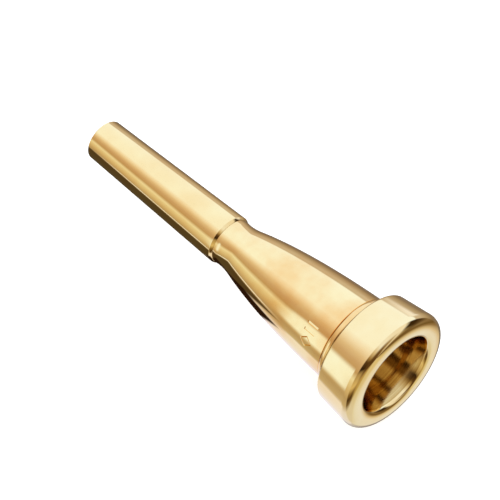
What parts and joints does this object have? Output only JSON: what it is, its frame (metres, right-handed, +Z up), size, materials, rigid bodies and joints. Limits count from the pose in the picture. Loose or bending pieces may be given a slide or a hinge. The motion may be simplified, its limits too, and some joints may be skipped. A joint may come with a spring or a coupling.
{
  "type": "trumpet mouthpiece",
  "caption": "Gold-plated brass trumpet mouthpiece: tapered backbore shank, bell-shaped cup with a beaded collar, and a thick rounded rim ring; the rim and the cup screw off.",
  "frame": {"origin": "centre of the open end of the shank, on the bore, where the instrument's receiver takes it", "axes": "+X along the bore from the shank to the rim, +Z up, +Y to the left of +X"},
  "size_m": [0.087, 0.027, 0.027],
  "materials": {
    "gold_plate_shank": "gold plate over turned brass, buffed lengthways",
    "gold_plate_cup": "gold plate over turned brass, polished; plain turned brass in the bowl",
    "gold_plate_rim": "gold plate over turned brass, polished bright"
  },
  "bodies": {
    "shank": {"backbore_shank": "gold_plate_shank"},
    "cup": {"cup": "gold_plate_cup"},
    "rim": {"rim": "gold_plate_rim"}
  },
  "joints": [
    {"name": "cup_off_shank", "type": "slide", "parent": "shank", "child": "cup", "axis": [1, 0, 0], "range_m": [0, 0.014]},
    {"name": "rim_off_cup", "type": "slide", "parent": "cup", "child": "rim", "axis": [1, 0, 0], "range_m": [0, 0.012]}
  ]
}
